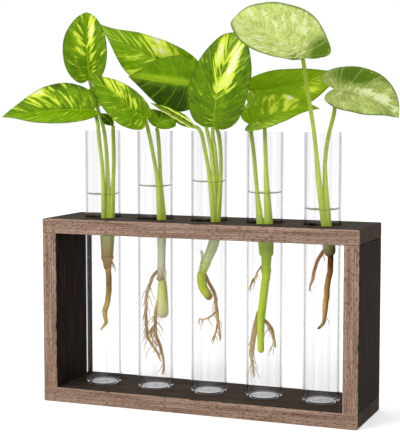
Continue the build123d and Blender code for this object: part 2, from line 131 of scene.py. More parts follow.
lamp_data = bpy.data.lights.new("soft_lamp", "AREA")
lamp_data.size = LAMP_SIDE
lamp_data.energy = LAMP_WATTS
lamp = bpy.data.objects.new("soft_lamp", lamp_data)
lamp.location = LAMP_PLACE
lamp.rotation_euler = (-LAMP_PLACE).to_track_quat("-Z", "Y").to_euler()
bpy.context.collection.objects.link(lamp)

floor_paper = blank("white_floor_paper")
paper = floor_paper.node_tree
matt = add(paper, "BsdfDiffuse", {"Color": linear("#f4f4f4")})
glow = add(paper, "Emission", {"Color": linear("#ffffff"), "Strength": FLOOR_GLOW})
glowing = add(paper, "AddShader", {0: matt, 1: glow})
shown = add(paper, "MixShader", {0: seen_directly(paper), 1: matt, 2: glowing})
add(paper, "OutputMaterial", {"Surface": shown})
half = FLOOR_SIDE / 2
floor_mesh = bpy.data.meshes.new("floor")
corners = [(-half, -half, 0), (half, -half, 0), (half, half, 0), (-half, half, 0)]
floor_mesh.from_pydata(corners, [], [(0, 1, 2, 3)])
floor_mesh.materials.append(floor_paper)
floor = bpy.data.objects.new("floor", floor_mesh)
bpy.context.collection.objects.link(floor)


# Boards
# Four softwood boards, butt-jointed: the broad faces are stained nearly black, the uprights' darker
# still as painted shade, and the narrow front and back edges are sanded back to brown, palest at
# the arrises, partly from wear and partly as a painted highlight. Grain and pores are a little
# coarser than real ones, so that they show from here.
GRAIN_WIDTH = 1.1 * MM
GRAIN_LENGTH = 55 * MM
GRAIN_LIMITS = (0.36, 0.64)
GRAIN_RELIEF = 0.15 * MM
PORE_WIDTH = 0.4 * MM
PORE_LENGTH = 4 * MM
PORE_LIMITS = (0.52, 0.64)
PATCHES_PER_METRE = 90
WEAR_DEPTH = 3 * MM
STAIN_EDGE = 0.7 * MM
ARRIS_WIDTH = 0.9 * MM
ARRIS_MIDDLE = 0.2 * MM
ARRIS_SHARE = 0.6
SHEEN_LIMITS = (0.3, 0.7)
SHEENS = (0.5, 0.7)
# The uprights' stains are darker than the level boards' as painted shade.
SHADED_UPRIGHT_STAINS = ("#0b0706", "#392d26")
LEVEL_STAINS = ("#15110f", "#56493f")
SANDED = ("#7d5f50", "#b69a87")
SANDED_PORE = "#4a382e"
# Pale arris colour: partly worn wood, partly a painted highlight.
ARRIS_WEAR_AND_HIGHLIGHT = "#ab9079"


def ramp(tree, value, start, end, low=0, high=1):
    """Goes from low to high as value goes from start to end, and stays level beyond them."""
    return add(tree, "MapRange", {0: value, 1: start, 2: end, 3: low, 4: high})


def blend(tree, share, first, second):
    """Goes from the first colour, a hex code or a node, to the second as share goes to 1."""
    pair = [linear(colour) if isinstance(colour, str) else colour for colour in (first, second)]
    return add(tree, "MixRGB", {0: share, 1: pair[0], 2: pair[1]})


def noise(tree, place, scale, detail, roughness=0.5):
    """Noise with scale cells to the metre along x, y and z."""
    scaled = add(tree, "Mapping", {"Vector": place, "Scale": scale})
    inputs = {"Vector": scaled, "Scale": 1, "Detail": detail, "Roughness": roughness}
    return add(tree, "TexNoise", inputs)


def stained_softwood(node, upright):
    """Oiled softwood: streaks along the grain, fine dark pores, and sanded front and back edges.

    Their pale arrises are partly worn and partly a painted highlight. A point's distance to each
    face is half the board's size less its distance from the middle.
    """
    material = blank(f"stained_softwood_{node}")
    tree = material.node_tree
    low, high = (np.array(corner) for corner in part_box(node))
    centre = (low + high) / 2
    half_size = (high - low) / 2
    turn = (0, 0, 0)
    if upright:
        turn = (0, math.pi / 2, 0)
        centre = np.array([centre[2], centre[1], -centre[0]])
        half_size = half_size[[2, 1, 0]]
    here = add(tree, "TexCoord").outputs["Object"]
    board = add(tree, "Mapping", {"Vector": here, "Rotation": turn, "Location": tuple(-centre)})
    sides = add(tree, "SeparateXYZ", {0: board})
    depth = []
    for axis in range(3):
        away = maths(tree, "ABSOLUTE", sides.outputs[axis])
        depth.append(maths(tree, "SUBTRACT", half_size[axis], away))

    grain_scale = (1 / GRAIN_LENGTH, 1 / GRAIN_WIDTH, 1 / GRAIN_WIDTH)
    pore_scale = (1 / PORE_LENGTH, 1 / PORE_WIDTH, 1 / PORE_WIDTH)
    grain = noise(tree, board, grain_scale, detail=4, roughness=0.6)
    pores = noise(tree, board, pore_scale, detail=2)
    patches = add(tree, "TexNoise", {"Vector": board, "Scale": PATCHES_PER_METRE, "Detail": 3})
    streaks = ramp(tree, grain, *GRAIN_LIMITS)
    pore_marks = ramp(tree, pores, *PORE_LIMITS)

    # The uprights take the darker stain as painted shade.
    stain = blend(tree, streaks, *(SHADED_UPRIGHT_STAINS if upright else LEVEL_STAINS))
    sanded = blend(tree, streaks, *SANDED)
    sanded = blend(tree, pore_marks, sanded, SANDED_PORE)
    wear = maths(tree, "SUBTRACT", patches, 0.5)
    wear = maths(tree, "MULTIPLY", wear, WEAR_DEPTH)

    # The pale arrises are partly wear and partly a painted highlight.
    nearest_end = maths(tree, "MINIMUM", depth[0], depth[2])
    to_arris = maths(tree, "ADD", nearest_end, wear)
    arris_wear_and_highlight = ramp(tree, to_arris, ARRIS_WIDTH, ARRIS_MIDDLE, 0, ARRIS_SHARE)
    edge = blend(tree, arris_wear_and_highlight, sanded, ARRIS_WEAR_AND_HIGHLIGHT)
    to_front = maths(tree, "ADD", depth[1], wear)
    front = ramp(tree, to_front, 1.5 * STAIN_EDGE, STAIN_EDGE)
    colour = blend(tree, front, stain, edge)

    sheen = ramp(tree, grain, *SHEEN_LIMITS, *SHEENS)
    relief = maths(tree, "SUBTRACT", grain, pore_marks)
    bump = add(tree, "Bump", {"Height": relief, "Distance": GRAIN_RELIEF, "Strength": 0.6})
    oiled = add(tree, "BsdfPrincipled", {
        "Base Color": colour,
        "Roughness": sheen,
        "IOR": 1.5,
        "Specular IOR Level": 0.01,
        "Normal": bump,
    })
    add(tree, "OutputMaterial", {"Surface": oiled})
    return material


for node in ("top_board", "bottom_board", "left_side_board", "right_side_board"):
    finish = stained_softwood(node, upright="side" in node)
    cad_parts[node].material_slots[0].material = finish


# Dowels
# Fluted beech pins, glued blind into both boards at each corner, so none shows.
beech = blank("beech_dowel")
tree = beech.node_tree
here = add(tree, "TexCoord").outputs["Object"]
grain_scale = (1 / GRAIN_WIDTH, 1 / GRAIN_WIDTH, 1 / GRAIN_LENGTH)
grain = noise(tree, here, grain_scale, detail=3)
colour = blend(tree, grain, "#b98f63", "#dcbb8d")
bare_wood = add(tree, "BsdfPrincipled", {"Base Color": colour, "Roughness": 0.6})
add(tree, "OutputMaterial", {"Surface": bare_wood})
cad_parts["corner_dowels"].material_slots[0].material = beech


# Glass tubes
# Borosilicate tube drawn to an even wall and fire-polished at the rim, which rounds it. Each
# stands loose in the frame on a ring round its foot, and the shallow hollow within is frosted.
# Near-black lines are painted along the tube's outline as painted reflection.
TUBE_COUNT = 5
TUBE_WALL = 1.6 * MM
TUBE_FLOOR = 2.2 * MM
TUBE_FOOT_RADIUS = 2.5 * MM
FOOT_RING = 4 * MM
FOOT_HOLLOW = 0.7 * MM
HOLLOW_EDGE = 5 * MM
HOLLOW_ROUND = 0.3 * MM
FROST_EDGE = 4.9 * MM
FROST = 0.85
BORE_FOOT_RADIUS = 3 * MM
RIM_ROUND = 0.6 * MM
# How far above the foot the painted edge shade comes in
EDGE_SHADE_START = 5 * MM
BANDS_PER_METRE = (210, 210, 0)
BAND_LIMITS = (0.45, 0.6)
BAND_TINT = "#c4c4ca"
GLOSS_FLOOR = 0.05
ARC_STEPS = 8
ARC_REST = 0.1 * MM
TUBE_SIDES = 128


class Tube:
    """A glass tube's place, from its box: its axis, foot and rim heights and inner radius."""

    def __init__(self, number):
        low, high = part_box(f"tube_{number}")
        self.body = f"tube_{number}"
        self.axis = np.array([(low[0] + high[0]) / 2, (low[1] + high[1]) / 2, 0])
        self.foot, self.rim = low[2], high[2]
        self.length = self.rim - self.foot
        self.radius = (high[0] - low[0]) / 2
        self.bore = self.radius - TUBE_WALL


TUBES = {number: Tube(number) for number in range(1, TUBE_COUNT + 1)}


def unit(vectors):
    """Vectors made 1 long."""
    return vectors / np.linalg.norm(vectors, axis=-1, keepdims=True)


def rounded(corners, radii):
    """A profile with its corners rounded.

    An arc's points are corner + radius * (out * (1 - cos a) - in * (1 - sin a)), as a runs from 0
    to a quarter turn. A short straight rest each side keeps the shading flat.
    """
    corners = np.array(corners, float)
    inward = unit(corners[1:-1] - corners[:-2])
    outward = unit(corners[2:] - corners[1:-1])
    radii = np.array(radii)[:, None, None]
    angles = np.linspace(0, math.pi / 2, ARC_STEPS)[None, :, None]
    inward, outward, middle = inward[:, None], outward[:, None], corners[1:-1][:, None]
    arcs = middle + radii * (outward * (1 - np.cos(angles)) - inward * (1 - np.sin(angles)))
    before = middle - (radii + ARC_REST) * inward
    after = middle + (radii + ARC_REST) * outward
    arcs = np.concatenate([before, arcs, after], axis=1).reshape(-1, 2)
    return np.concatenate([corners[:1], arcs, corners[-1:]])


def turned(profile, axis, sides=TUBE_SIDES):
    """A profile of radii and heights turned about an upright axis: (r cos a, r sin a, z)."""
    angles = np.linspace(0, 2 * math.pi, sides, endpoint=False)
    radii, heights = profile[:, :1], profile[:, 1:]
    rings = [radii * np.cos(angles), radii * np.sin(angles), heights + 0 * angles]
    return np.stack(rings, axis=-1) + axis


def collapsed(stack):
    """A stack of rows as one list, with the first and the last row as one entry each."""
    return np.concatenate([stack[:1, 0], stack[1:-1].reshape(-1, *stack.shape[2:]), stack[-1:, 0]])


def skinned(name, stacks, material, wrap=True, **fields):
    """An object whose skin covers each stack of rows of points.

    Neighbouring rows are joined by quads, the first and last rows are drawn in to a point, and
    with wrap each row closes into a ring. fields are attributes, with a value for each point.
    """
    points, faces, start = [], [], 0
    for stack in stacks:
        rows, sides = stack.shape[0] - 2, stack.shape[1]
        index = start + 1 + np.arange(rows * sides).reshape(rows, sides)
        if wrap:
            index = np.hstack([index, index[:, :1]])
        quads = [index[:-1, :-1], index[:-1, 1:], index[1:, 1:], index[1:, :-1]]
        faces += np.stack(quads, axis=-1).reshape(-1, 4).tolist()
        ends = np.full(index.shape[1] - 1, start)
        faces += np.stack([ends, index[0, 1:], index[0, :-1]], axis=-1).tolist()
        ends = ends + 1 + rows * sides
        faces += np.stack([ends, index[-1, :-1], index[-1, 1:]], axis=-1).tolist()
        points.append(collapsed(stack))
        start = ends[0] + 1
    mesh = bpy.data.meshes.new(name)
    mesh.from_pydata(np.concatenate(points).tolist(), [], faces)
    for field, values in fields.items():
        values = np.concatenate([collapsed(value) for value in values])
        attribute = mesh.attributes.new(field, "FLOAT_VECTOR", "POINT")
        attribute.data.foreach_set("vector", values.astype(np.float32).ravel())
    mesh.materials.append(material)
    mesh.shade_smooth()
    obj = bpy.data.objects.new(name, mesh)
    bpy.context.collection.objects.link(obj)
    return obj


def attribute_parts(tree, name):
    """The three values that a mesh holds at each point under a name."""
    vector = add(tree, "Attribute", attribute_name=name).outputs["Vector"]
    return add(tree, "SeparateXYZ", {0: vector}).outputs


def clear(name, bend, gloss, colour, edge_shade_colour, edge_shade_full, banding):
    """A clear material, with a painted dark edge where the eye meets it at a slant: a painted
    reflection.

    bend is the IOR by which it bends what is seen through it, edge_shade_full the facing at which
    it is wholly its painted edge shade colour, and banding how much the faint bands along a drawn
    tube show. Its gloss is gloss * (gloss floor + facing^5). Light passes straight through. The
    place attribute holds how much of the painted edge shade it takes, and how frosted it is.
    """
    material = blank(name)
    tree = material.node_tree
    here = add(tree, "TexCoord").outputs["Object"]
    drawn = ramp(tree, noise(tree, here, BANDS_PER_METRE, detail=1), *BAND_LIMITS, 0, banding)
    tint = blend(tree, drawn, colour, BAND_TINT)
    edge_shade_share, frosts, _ = attribute_parts(tree, "place")
    facing = add(tree, "LayerWeight", {"Blend": 0.5}).outputs["Facing"]
    # Painted reflection: near the outline the tint goes to the dark edge shade colour.
    painted_edge_shade = maths(tree, "MULTIPLY", ramp(tree, facing, 0.5, edge_shade_full), edge_shade_share)
    tint = blend(tree, painted_edge_shade, tint, edge_shade_colour)
    body = add(tree, "BsdfPrincipled", {
        "Base Color": tint,
        "Roughness": 0,
        "IOR": bend,
        "Transmission Weight": 1,
    })
    shine = add(tree, "BsdfGlossy", {"Color": linear("#f4f4f6"), "Roughness": 0.03})
    steep = maths(tree, "POWER", facing, 5)
    reflecting = ramp(tree, steep, 0, 1, GLOSS_FLOOR * gloss, (1 + GLOSS_FLOOR) * gloss)
    walled = add(tree, "MixShader", {0: reflecting, 1: body, 2: shine})
    through = add(tree, "BsdfTransparent", {"Color": linear(colour)})
    rays = add(tree, "LightPath")
    passing = add(tree, "MixShader", {0: rays.outputs["Is Diffuse Ray"], 1: walled, 2: through})
    passing = add(tree, "MixShader", {0: rays.outputs["Is Shadow Ray"], 1: passing, 2: through})
    frosted = add(tree, "BsdfDiffuse", {"Color": linear("#eceef0")})
    passing = add(tree, "MixShader", {0: frosts, 1: passing, 2: frosted})
    add(tree, "OutputMaterial", {"Surface": passing})
    return material


# Real glass bends light by an IOR of 1.47. In the photograph the tubes bend nothing that is seen
# through them, so the walls bend little here.
# The near-black edge colour is a painted reflection.
glass = clear(
    "drawn_glass", bend=1.04, gloss=0.25, banding=0.22,
    colour="#fafafb", edge_shade_colour="#060607", edge_shade_full=1,
)
for number, tube in TUBES.items():
    profile = rounded(
        [
            (0, tube.foot + FOOT_HOLLOW),
            (tube.radius - HOLLOW_EDGE, tube.foot + FOOT_HOLLOW),
            (tube.radius - FOOT_RING, tube.foot),
            (tube.radius, tube.foot),
            (tube.radius, tube.rim),
            (tube.bore, tube.rim),
            (tube.bore, tube.foot + TUBE_FLOOR),
            (0, tube.foot + TUBE_FLOOR),
        ],
        [HOLLOW_ROUND, HOLLOW_ROUND, TUBE_FOOT_RADIUS, RIM_ROUND, RIM_ROUND, BORE_FOOT_RADIUS],
    )
    rings = turned(profile, tube.axis)
    height = rings[..., 2] - tube.foot
    off_axis = np.linalg.norm(rings[..., :2] - tube.axis[:2], axis=-1)
    frost = FROST * (height < TUBE_FLOOR / 2) * (off_axis < tube.radius - FROST_EDGE)
    # The first field is how much of the painted edge shade each point takes.
    place = np.stack([np.clip(height / EDGE_SHADE_START, 0, 1), frost, 0 * frost], axis=-1)
    blown = skinned(f"tube_{number}_glass", [rings], glass, place=[place])
    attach(blown, tube.body)
    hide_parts(f"tube_{number}")


# Water
# Plain tap water, a little lower in each tube than the next as the plants drink. It wets the
# glass, so its edge creeps up the wall. Its surface is edged with a dark olive line that is a
# painted reflection. Like the glass, it bends less than it really does, which is 1.33.
WATER_LEVELS = {1: 0.749, 2: 0.786, 3: 0.808, 4: 0.771, 5: 0.716}
WATER_OVERLAP = 0.05 * MM
CREEP_HEIGHT = 1.5 * MM
CREEP_WIDTH = 1 * MM
SURFACE_RINGS = 24
OUTER_RING_WIDTH = 0.05 * MM

# The dark olive edge colour is a painted reflection, on the surface only.
water = clear(
    "tap_water", bend=1.02, gloss=0.02, banding=0,
    colour="#fdfdfc", edge_shade_colour="#47421e", edge_shade_full=0.8,
)
for number, tube in TUBES.items():
    level = tube.foot + WATER_LEVELS[number] * tube.length
    outer = tube.bore + WATER_OVERLAP
    base = tube.foot + TUBE_FLOOR - WATER_OVERLAP
    from_wall = np.concatenate([[0], np.geomspace(OUTER_RING_WIDTH, outer, SURFACE_RINGS)])
    creep = level + CREEP_HEIGHT * np.exp(-from_wall / CREEP_WIDTH)
    surface = np.stack([outer - from_wall, creep], axis=1)
    wall = rounded([(0, base), (outer, base), (outer, creep[0] - ARC_REST)], [BORE_FOOT_RADIUS])
    rings = turned(np.vstack([wall, surface]), tube.axis)
    # Only the surface takes the painted edge shade.
    on_top = np.arange(len(rings))[:, None, None] >= len(wall)
    place = on_top * np.array([1, 0, 0]) + 0 * rings
    filled = skinned(f"tube_{number}_water", [rings], water, place=[place])
    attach(filled, tube.body)


# Stems and stalks
# Rooted vine cuttings: a short length of old stem with a swollen joint, and from it soft, juicy
# stalks, one to each leaf. They stand loose in the water and lean on the rims.
STALK_DIAMETER = 3.4 * MM
STALK_FEET = {1: 6 * MM, 2: 7 * MM, 3: 6 * MM, 4: 10 * MM, 5: 7 * MM}
BUD_DIAMETER = 3.2 * MM
THICK_STEM_DIAMETER = 11.5 * MM
SWELLING_WIDTH = 1.6 * MM
SPRAY_REACH = 50 * MM
SPRAY_HEIGHT = 100 * MM
STALK_SIDES = 20
RING_SPACING = 1 * MM
LEAST_RINGS = 5
BEND_STEPS = 24
FLECKS_PER_METRE = (900, 900, 160)
SKIN_PATCHES_PER_METRE = 140
MOTTLE_LIMITS = (0.7, 1.3)


def in_tube(number, shares):
    """Points inside a tube: shares of the bore's radius sideways and of the tube's length down."""
    tube = TUBES[number]
    scale = np.array([tube.bore, tube.bore, -tube.length])
    return tube.axis + (0, 0, tube.rim) + scale * np.array(shares)


def above_rim(number, shares):
    """Points above a tube's rim: shares of the spray's reach sideways and of its height up."""
    tube = TUBES[number]
    scale = np.array([SPRAY_REACH, SPRAY_REACH, SPRAY_HEIGHT])
    return tube.axis + (0, 0, tube.rim) + scale * np.array(shares)


def run_along(line):
    """How far along a line each of its points lies."""
    return np.concatenate([[0], np.cumsum(np.linalg.norm(np.diff(line, axis=0), axis=1))])


def bent(points, spacing=RING_SPACING):
    """A smooth line led by points, with even spacing.

    Each inner point pulls a parabola between the middles of the runs beside it:
    (1 - t)^2 start + 2t (1 - t) point + t^2 end.
    """
    points = np.array(points, float)
    line = points
    if len(points) > 2:
        middles = (points[1:-2] + points[2:-1]) / 2
        starts = np.vstack([points[:1], middles])
        ends = np.vstack([middles, points[-1:]])
        t = np.linspace(0, 1, BEND_STEPS, endpoint=False)[:, None, None]
        arcs = (1 - t) ** 2 * starts + 2 * t * (1 - t) * points[1:-1] + t ** 2 * ends
        line = np.vstack([arcs.swapaxes(0, 1).reshape(-1, 3), points[-1:]])
    run = run_along(line)
    evenly = np.linspace(0, run[-1], max(int(run[-1] / spacing), LEAST_RINGS))
    return np.stack([np.interp(evenly, run, line[:, axis]) for axis in range(3)], axis=1)


def strand(line, diameters, colours, sides=STALK_SIDES, swellings=()):
    """Rings and colours along a line, with its ends rounded off.

    The radius follows the diameters, spaced evenly from end to end. Each swelling (share, extra)
    adds extra * exp(-(distance / swelling width)^2), and an end's radius is that of a ball.
    """
    run = run_along(line)
    share = run / run[-1]
    radii = np.interp(share, np.linspace(0, 1, len(diameters)), diameters) / 2
    for place, extra in swellings:
        radii = radii + extra * np.exp(-(((share - place) * run[-1]) / SWELLING_WIDTH) ** 2)
    from_end = np.minimum(run, run[-1] - run)
    inside = np.clip(1 - from_end / radii, 0, 1)
    radii = radii * np.sqrt(1 - inside ** 2)
    along = unit(np.gradient(line, axis=0))
    across = unit(np.cross(along, (0, 1, 0)))
    other = np.cross(along, across)
    angles = np.linspace(0, 2 * math.pi, sides, endpoint=False)[None, :, None]
    round_line = np.cos(angles) * across[:, None] + np.sin(angles) * other[:, None]
    rings = line[:, None] + radii[:, None, None] * round_line
    stops = np.array([linear(colour)[:3] for colour in colours])
    where = np.linspace(0, 1, len(colours))
    tints = np.stack([np.interp(share, where, stops[:, part]) for part in range(3)], axis=1)
    return rings, np.repeat(tints[:, None], sides, axis=1)


def living(name, mottle, roughness, bump_height):
    """Soft plant skin in its own colours: they vary in flecks that run along the strand."""
    material = blank(name)
    tree = material.node_tree
    here = add(tree, "TexCoord").outputs["Object"]
    flecks = noise(tree, here, FLECKS_PER_METRE, detail=3, roughness=0.6)
    patches = add(tree, "TexNoise", {"Vector": here, "Scale": SKIN_PATCHES_PER_METRE, "Detail": 2})
    both = maths(tree, "ADD", flecks, patches)
    own = add(tree, "Attribute", attribute_name="tint").outputs["Color"]
    level = ramp(tree, both, *MOTTLE_LIMITS, 1 - mottle, 1 + mottle)
    colour = add(tree, "VectorMath", {0: own, 1: level}, operation="MULTIPLY")
    bump = add(tree, "Bump", {"Height": flecks, "Distance": bump_height, "Strength": 0.6})
    skin = add(tree, "BsdfPrincipled", {
        "Base Color": colour,
        "Roughness": roughness,
        "IOR": 1.4,
        "Specular IOR Level": 0.2,
        "Normal": bump,
        "Subsurface Weight": 0.15,
        "Subsurface Radius": (1.2 * MM, 1.6 * MM, 0.4 * MM),
        "Subsurface Scale": 1,
    })
    add(tree, "OutputMaterial", {"Surface": skin})
    return material


# Stalk colours from the foot up. The two lower ones are the stalks' own green, lightened as painted
# light against the shade of the boards around them.
LIME_WITH_PAINTED_LIGHT = "#c9dd5a"
UPPER_STALK = "#acc445"
LEAF_STALK = "#8aa32e"
OLD_GREEN_WITH_PAINTED_LIGHT = "#b8d23e"
# Each stalk: inside the tube, above the rim
STALKS = {
    1: {
        "long": (
            ((0.2, -0.26, 0.39), (0.28, -0.54, 0.18), (0.22, -0.74, 0.09), (0.1, -0.84, 0)),
            ((-0.04, -0.12, 0.09), (-0.19, 0.04, 0.182)),
        ),
        "tall": (
            ((0.5, -0.21, 0.39), (0.42, -0.2, 0.12), (0.05, 0.12, 0)),
            ((-0.11, 0.16, 0.11), (-0.24, 0.17, 0.27), (-0.26, 0, 0.461)),
        ),
        "bud": (
            ((0.66, -0.24, 0.38), (0.76, -0.08, 0.19), (0.8, -0.06, 0.09), (0.78, -0.16, 0)),
            ((0.24, -0.06, 0.05),),
        ),
    },
    2: {
        "front": (
            ((0.5, -0.28, 0.37), (0.41, -0.42, 0.2), (0.14, -0.7, 0.08)),
            ((-0.04, -0.23, 0.04), (-0.01, -0.42, 0.106)),
        ),
        "small": (
            ((0.62, -0.24, 0.37), (0.42, -0.21, 0.144), (0.24, -0.06, 0)),
            ((0.03, -0.02, 0.034),),
        ),
    },
    3: {
        "heart": (
            ((0.6, -0.28, 0.37), (0.78, -0.1, 0.2), (0.82, -0.12, 0.09)),
            ((0.21, -0.11, 0.035), (0.2, -0.29, 0.048)),
        ),
        "folded": (
            ((0.52, -0.28, 0.36), (0.42, -0.28, 0.19), (0.25, -0.2, 0.08), (-0.1, -0.1, 0)),
            ((-0.1, 0.04, 0.09), (-0.28, 0.3, 0.28), (-0.47, 0.56, 0.397)),
        ),
        "far": (
            ((0.5, -0.2, 0.36), (0.5, -0.08, 0.19), (0.4, 0, 0.08), (0.15, 0.04, 0)),
            ((0.06, 0.14, 0.12), (-0.06, 0.5, 0.32), (-0.4, 0.74, 0.44), (-0.7, 0.84, 0.526)),
        ),
        "narrow": (
            ((0.5, -0.36, 0.36), (0.25, -0.42, 0.19), (-0.1, -0.36, 0.08)),
            ((-0.17, 0, 0.05), (-0.4, 0.24, 0.034)),
        ),
    },
    4: {
        "bright": (
            ((0.16, -0.33, 0.47), (-0.1, -0.33, 0.38), (-0.39, -0.35, 0.215), (-0.6, -0.28, 0.084),
             (-0.8, -0.28, 0)),
            ((-0.29, 0, 0.065),),
        ),
        "back": (
            ((0.28, -0.3, 0.47), (0.4, -0.33, 0.38), (0.2, -0.28, 0.214), (0.08, -0.14, 0.084),
             (0, -0.06, 0)),
            ((-0.06, 0.12, 0.1), (-0.25, 0.4, 0.27), (-0.5, 0.62, 0.355)),
        ),
    },
    5: {
        "top": (
            ((0.34, -0.28, 0.38), (-0.08, -0.42, 0.208), (-0.21, -0.62, 0.08), (-0.33, -0.78, 0)),
            ((-0.11, -0.28, 0.11), (-0.13, -0.54, 0.376), (-0.12, -0.8, 0.608)),
        ),
        "side": (
            ((0.46, -0.26, 0.38), (0.14, -0.21, 0.157), (0.24, -0.14, 0.055), (0.4, -0.14, 0)),
            ((0.15, -0.04, 0.06), (0.19, 0.08, 0.2), (0.17, 0.07, 0.36)),
        ),
    },
}
# Each length of old stem: its line, diameters and colours from its lower end, and its joints
STEMS = {
    1: [
        (
            ((0.38, -0.24, 0.55), (0.36, -0.24, 0.45), (0.42, -0.24, 0.345)),
            (6 * MM, 11 * MM, 13 * MM, 13 * MM),
            ("#a3733a", "#c0a468", "#c4cd7c", "#c0d46a"),
            ((0.24, 1 * MM),),
        )
    ],
    2: [
        (
            ((0.6, -0.28, 0.725), (0.58, -0.28, 0.57)),
            (11 * MM, 10 * MM, 7 * MM),
            ("#e0d9a0", "#dfe08c", "#c9d468"),
            (),
        ),
        (
            ((0.5, -0.28, 0.585), (0.56, -0.28, 0.35)),
            (7 * MM, 7 * MM, 9 * MM),
            ("#a5814a", "#eef0d0", "#e9edc0", "#cfdf7c"),
            ((0.06, 0.9 * MM),),
        ),
        (
            ((0.6, -0.28, 0.6), (0.76, -0.3, 0.58), (0.8, -0.3, 0.535)),
            (BUD_DIAMETER, 2 * MM),
            ("#eef2ba",),
            (),
        ),
    ],
    3: [
        (
            ((0.55, -0.28, 0.345), (0.56, -0.28, 0.414), (-0.22, -0.28, 0.51),
             (-0.34, -0.28, 0.545)),
            (10 * MM, 9 * MM, 7.5 * MM),
            ("#b4d040", "#e3ecb0", "#dfe6a0", "#c3d62c"),
            ((0.8, 0.6 * MM),),
        ),
        (((-0.24, -0.28, 0.51), (-0.36, -0.35, 0.452)), (BUD_DIAMETER, 2.2 * MM), ("#f3f3cc",), ()),
        (
            ((-0.34, -0.28, 0.53), (-0.41, -0.42, 0.578), (0.1, -0.42, 0.627),
             (0.32, -0.42, 0.637)),
            (7.5 * MM, 8 * MM, 7 * MM),
            ("#c3d62c", "#b7cc1c", "#c6d424", "#a5762c"),
            (),
        ),
    ],
    4: [
        (
            ((0.22, -0.3, 0.46), (0.18, -0.3, 0.37)),
            (THICK_STEM_DIAMETER, THICK_STEM_DIAMETER),
            ("#9cc43c", "#b4d65a"),
            ((0.05, 0.7 * MM),),
        ),
        (
            ((0.2, -0.33, 0.565), (0.22, -0.3, 0.43)),
            (7 * MM, 8 * MM, 10 * MM),
            ("#cfe62c", "#c3e02c", "#a9d03a"),
            ((0.35, 0.7 * MM),),
        ),
        (
            ((0.2, -0.33, 0.54), (0.03, -0.42, 0.643), (-0.11, -0.42, 0.728),
             (-0.06, -0.42, 0.831)),
            (7 * MM, 7 * MM, 5.5 * MM),
            ("#cfe62c", "#bcd810", "#d4e23a"),
            (),
        ),
    ],
    5: [
        (
            ((0.54, -0.28, 0.456), (0.42, -0.28, 0.36)),
            (10 * MM, 11.5 * MM),
            ("#9c6a3c", "#bdbd80", "#b4c860"),
            (),
        )
    ],
}
stem_skin = living("juicy_stem_skin", mottle=0.12, roughness=0.4, bump_height=0.15 * MM)
BASES = {}
for number, stalks in STALKS.items():
    parts = []
    foot = STALK_FEET[number]
    widths = (foot, (foot + STALK_DIAMETER) / 2, *3 * (STALK_DIAMETER,))
    for leaf, (inside, outside) in stalks.items():
        points = np.vstack([in_tube(number, inside), above_rim(number, outside)])
        BASES[number, leaf] = points[-1]
        # The lower stalk colours carry painted light.
        parts.append(strand(bent(points), widths, (OLD_GREEN_WITH_PAINTED_LIGHT, LIME_WITH_PAINTED_LIGHT, UPPER_STALK, LEAF_STALK)))
    for shares, diameters, colours, swellings in STEMS[number]:
        line = bent(in_tube(number, shares), RING_SPACING / 2)
        parts.append(strand(line, diameters, colours, swellings=swellings))
    rings, tints = zip(*parts)
    stem = skinned(f"cutting_{number}_green_stem", rings, stem_skin, tint=tints)
    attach(stem, f"cutting_{number}")
    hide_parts(f"cutting_{number}_stem")
# The curled leaf grows from the side of the tall leaf's stalk
BASES[1, "curled"] = above_rim(1, ((-0.21, 0.17, 0.235),))[0]


# Roots
# Water roots: tan to orange-brown, smooth and a little wavy, with pale tips and hair-fine
# rootlets. They grow from the stem's joints and hang free in the water.
MAIN_ROOT_DIAMETER = 5 * MM
ROOT_DIAMETER = 3 * MM
ROOT_TAPER = 0.4
ROOT_WANDER = 0.35 * MM
ROOT_SIDES = 12
ROOTLET_DIAMETER = 1.6 * MM
HAIR_DIAMETER = 0.8 * MM
HAIR_TAPER = 0.6
HAIR_WANDER = 0.5 * MM
HAIR_SPAN = (0.15, 0.9)
HAIR_REACHES = (0.4, 1)
HAIR_LEAN = 0.6
HAIR_DROOP = 0.1
HAIR_SIDES = 6
GLASS_ROOM = 1.5 * MM
WAVE_LENGTH = 45 * MM
WAVE_TURNS = (1, 2.3, 4.1)
WAVE_FALLS = (1, 1.6, 2.6)
TIP = "#e6c984"
BROWN = "#ab7433"
